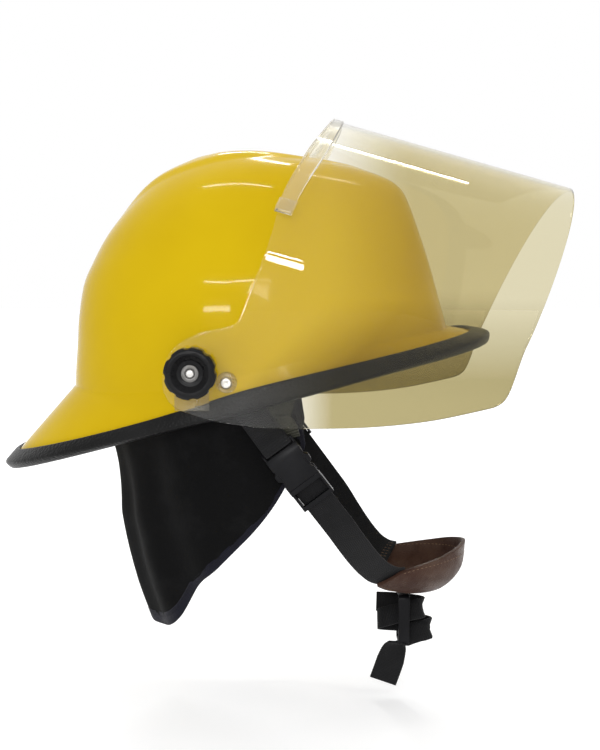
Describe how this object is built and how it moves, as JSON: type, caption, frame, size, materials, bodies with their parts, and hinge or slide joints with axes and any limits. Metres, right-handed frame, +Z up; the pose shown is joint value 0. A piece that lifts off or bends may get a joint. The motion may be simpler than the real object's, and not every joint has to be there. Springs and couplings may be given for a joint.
{
  "type": "fire helmet",
  "caption": "Traditional wide brim fire helmet with a raised wrap-around clear visor, neck curtain, ratchet headband and buckled chin strap with chin cup.",
  "frame": {"origin": "head seat: the middle line of the helmet on the underside of the crown pad, where the top of the wearer's head rests", "axes": "+X forward, +Y to the wearer's left, +Z up along the head as the helmet is worn, the brim plane tilted 14.7 degrees with its front up"},
  "size_m": [0.398, 0.2568, 0.4069],
  "materials": {
    "shell_yellow": "glossy gelcoat",
    "trim_rubber": "finely grained",
    "liner_foam": "foamed",
    "black_nylon": "moulded",
    "grey_nylon": "moulded",
    "cradle_web": "woven",
    "pad_cloth": "napped cloth over foam",
    "plated_steel": "zinc plated",
    "sweat_leather": "perforated",
    "clear_sheet": "clear moulded sheet, hard coated",
    "clear_strip": "clear moulded",
    "knob_black": "satin moulded",
    "washer_rubber": "plain",
    "olive_web": "woven",
    "black_web": "woven",
    "cup_leather": "smooth, worn",
    "curtain_cloth": "matt flame resistant cloth",
    "binding_navy": "bound tape",
    "hook_tape": "hook tape"
  },
  "bodies": {
    "helmet": {"shell": "shell_yellow", "edge_trim": "trim_rubber", "impact_liner": "liner_foam", "suspension_ring": "black_nylon", "cradle_webbing": "cradle_web", "crown_pad": "pad_cloth", "front_hanger": "black_nylon", "rear_hangers": "black_nylon", "brow_rivet": "plated_steel", "ratchet_housing": "black_nylon", "ratchet_cover": "black_nylon", "nape_pad": "pad_cloth", "outer_friction_washers": "washer_rubber", "inner_friction_washers": "washer_rubber", "pivot_spacers": "clear_strip", "pivot_bolts": "plated_steel", "side_brackets": "plated_steel", "bracket_bushings": "grey_nylon", "anchor_screws": "plated_steel", "anchor_washers": "clear_strip", "anchor_nuts": "plated_steel", "hanger_pins": "plated_steel", "strap_hangers": "plated_steel", "right_front_webbing": "olive_web", "right_rear_webbing": "black_web", "left_front_webbing": "olive_web", "left_rear_webbing": "black_web", "buckle_socket": "knob_black", "right_lower_webbing": "black_web", "left_lower_webbing": "black_web", "strap_slider": "knob_black", "chin_cup": "cup_leather", "strap_tail": "black_web", "tail_keeper": "knob_black", "neck_curtain": "curtain_cloth", "curtain_binding": "binding_navy", "curtain_hook_strip": "hook_tape"},
    "visor": {"visor": "clear_sheet", "visor_edge_strip": "clear_strip", "strip_ferrules": "clear_strip"},
    "right_knob": {"right_knob": "knob_black", "right_knob_insert": "plated_steel"},
    "left_knob": {"left_knob": "knob_black", "left_knob_insert": "plated_steel"},
    "ratchet_knob": {"ratchet_knob": "black_nylon", "ratchet_pinion": "grey_nylon"},
    "headband_left": {"headband_left": "black_nylon", "sweatband_left": "sweat_leather"},
    "headband_right": {"headband_right": "black_nylon", "sweatband_right": "sweat_leather"},
    "buckle_plug": {"buckle_plug": "knob_black"},
    "prong_front": {"prong_front": "knob_black"},
    "prong_rear": {"prong_rear": "knob_black"}
  },
  "joints": [
    {"name": "visor_tilt", "type": "hinge", "parent": "helmet", "child": "visor", "pos_m": [-0.02355, 0, -0.10646], "axis": [0, 1, 0], "range_deg": [-38, 38]},
    {"name": "right_knob_turn", "type": "hinge", "parent": "helmet", "child": "right_knob", "pos_m": [-0.02355, -0.114, -0.10646], "axis": [0, -1, 0], "range_deg": [0, 360]},
    {"name": "left_knob_turn", "type": "hinge", "parent": "helmet", "child": "left_knob", "pos_m": [-0.02355, 0.114, -0.10646], "axis": [0, 1, 0], "range_deg": [0, 360]},
    {"name": "ratchet_turn", "type": "hinge", "parent": "helmet", "child": "ratchet_knob", "pos_m": [-0.09294, 0, -0.1257], "axis": [0.9673, 0, 0.2538], "range_deg": [-60, 60]},
    {"name": "headband_left_swing", "type": "hinge", "parent": "helmet", "child": "headband_left", "pos_m": [0.11095, 0, -0.07221], "axis": [-0.2538, 0, 0.9673], "range_deg": [-1.8, 1.8]},
    {"name": "headband_right_swing", "type": "hinge", "parent": "helmet", "child": "headband_right", "pos_m": [0.11095, 0, -0.07221], "axis": [0.2538, 0, -0.9673], "range_deg": [-1.8, 1.8]},
    {"name": "buckle_release", "type": "slide", "parent": "helmet", "child": "buckle_plug", "axis": [0.5953, 0.1334, -0.7924], "range_m": [0, 0.02]},
    {"name": "prong_front_squeeze", "type": "hinge", "parent": "buckle_plug", "child": "prong_front", "pos_m": [0.05465, -0.084, -0.17506], "axis": [0.0801, -0.9911, -0.1067], "range_deg": [0, 5], "stiffness_Nm_per_rad": 0.6},
    {"name": "prong_rear_squeeze", "type": "hinge", "parent": "buckle_plug", "child": "prong_rear", "pos_m": [0.04026, -0.084, -0.18588], "axis": [-0.0801, 0.9911, 0.1067], "range_deg": [0, 5], "stiffness_Nm_per_rad": 0.6}
  ],
  "couplings": [
    {"joint": "headband_left_swing", "follows": "ratchet_turn", "ratio": 0.02556},
    {"joint": "headband_right_swing", "follows": "ratchet_turn", "ratio": 0.02556}
  ]
}
